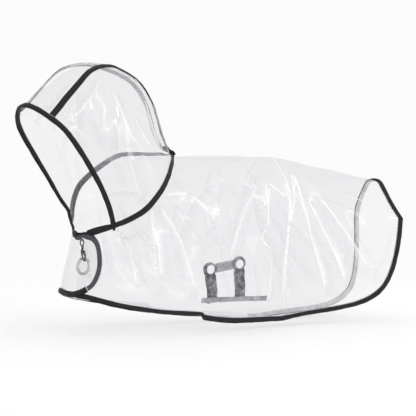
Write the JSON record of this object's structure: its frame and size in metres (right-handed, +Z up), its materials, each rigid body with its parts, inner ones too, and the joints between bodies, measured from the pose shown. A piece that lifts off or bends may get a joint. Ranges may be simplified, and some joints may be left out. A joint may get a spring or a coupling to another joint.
{
  "type": "dog raincoat",
  "caption": "Clear hooded raincoat for a small dog with dark bindings, an overlapping chest, a folded belly strap, and a clasp with a ring.",
  "frame": {"origin": "mid back, on the inner face of the film, where the dog's back holds the coat up", "axes": "+Z up from the dog's back, -X towards the dog's head, -Y towards its left flank"},
  "size_m": [0.6256, 0.2028, 0.3737],
  "materials": {
    "clear_film": "gloss",
    "black_twill_tape": "matte",
    "white_plastic": "satin",
    "dark_metal": "satin",
    "bright_metal": "polished"
  },
  "bodies": {
    "coat": {"cape_panel": "clear_film", "hood_side_left": "clear_film", "hood_side_right": "clear_film", "hood_crown": "clear_film", "crown_tape_left": "black_twill_tape", "crown_tape_right": "black_twill_tape", "face_binding": "black_twill_tape", "flap_binding": "black_twill_tape", "hem_binding_belly_left": "black_twill_tape", "hem_binding_belly_right": "black_twill_tape", "hem_binding_front_left": "black_twill_tape", "hem_binding_front_right": "black_twill_tape", "hem_binding_rear": "black_twill_tape", "nape_tab": "black_twill_tape", "neck_binding": "black_twill_tape", "strap_base": "black_twill_tape", "strap_link": "black_twill_tape", "strap_tab_front": "black_twill_tape", "strap_tab_rear": "black_twill_tape", "snap_front": "white_plastic", "snap_rear": "white_plastic", "clasp_loop": "black_twill_tape"},
    "clasp": {"clasp": "dark_metal"},
    "ring": {"ring": "bright_metal"}
  },
  "joints": [
    {"name": "clasp_swing", "type": "hinge", "parent": "coat", "child": "clasp", "pos_m": [-0.33, -0.0265, -0.1157], "axis": [-0.3626, 0.8589, -0.3617], "range_deg": [0, 70]},
    {"name": "ring_swing", "type": "hinge", "parent": "clasp", "child": "ring", "pos_m": [-0.332, -0.038, -0.141], "axis": [-0.3427, 0.9394, -0.004], "range_deg": [0, 70]}
  ]
}
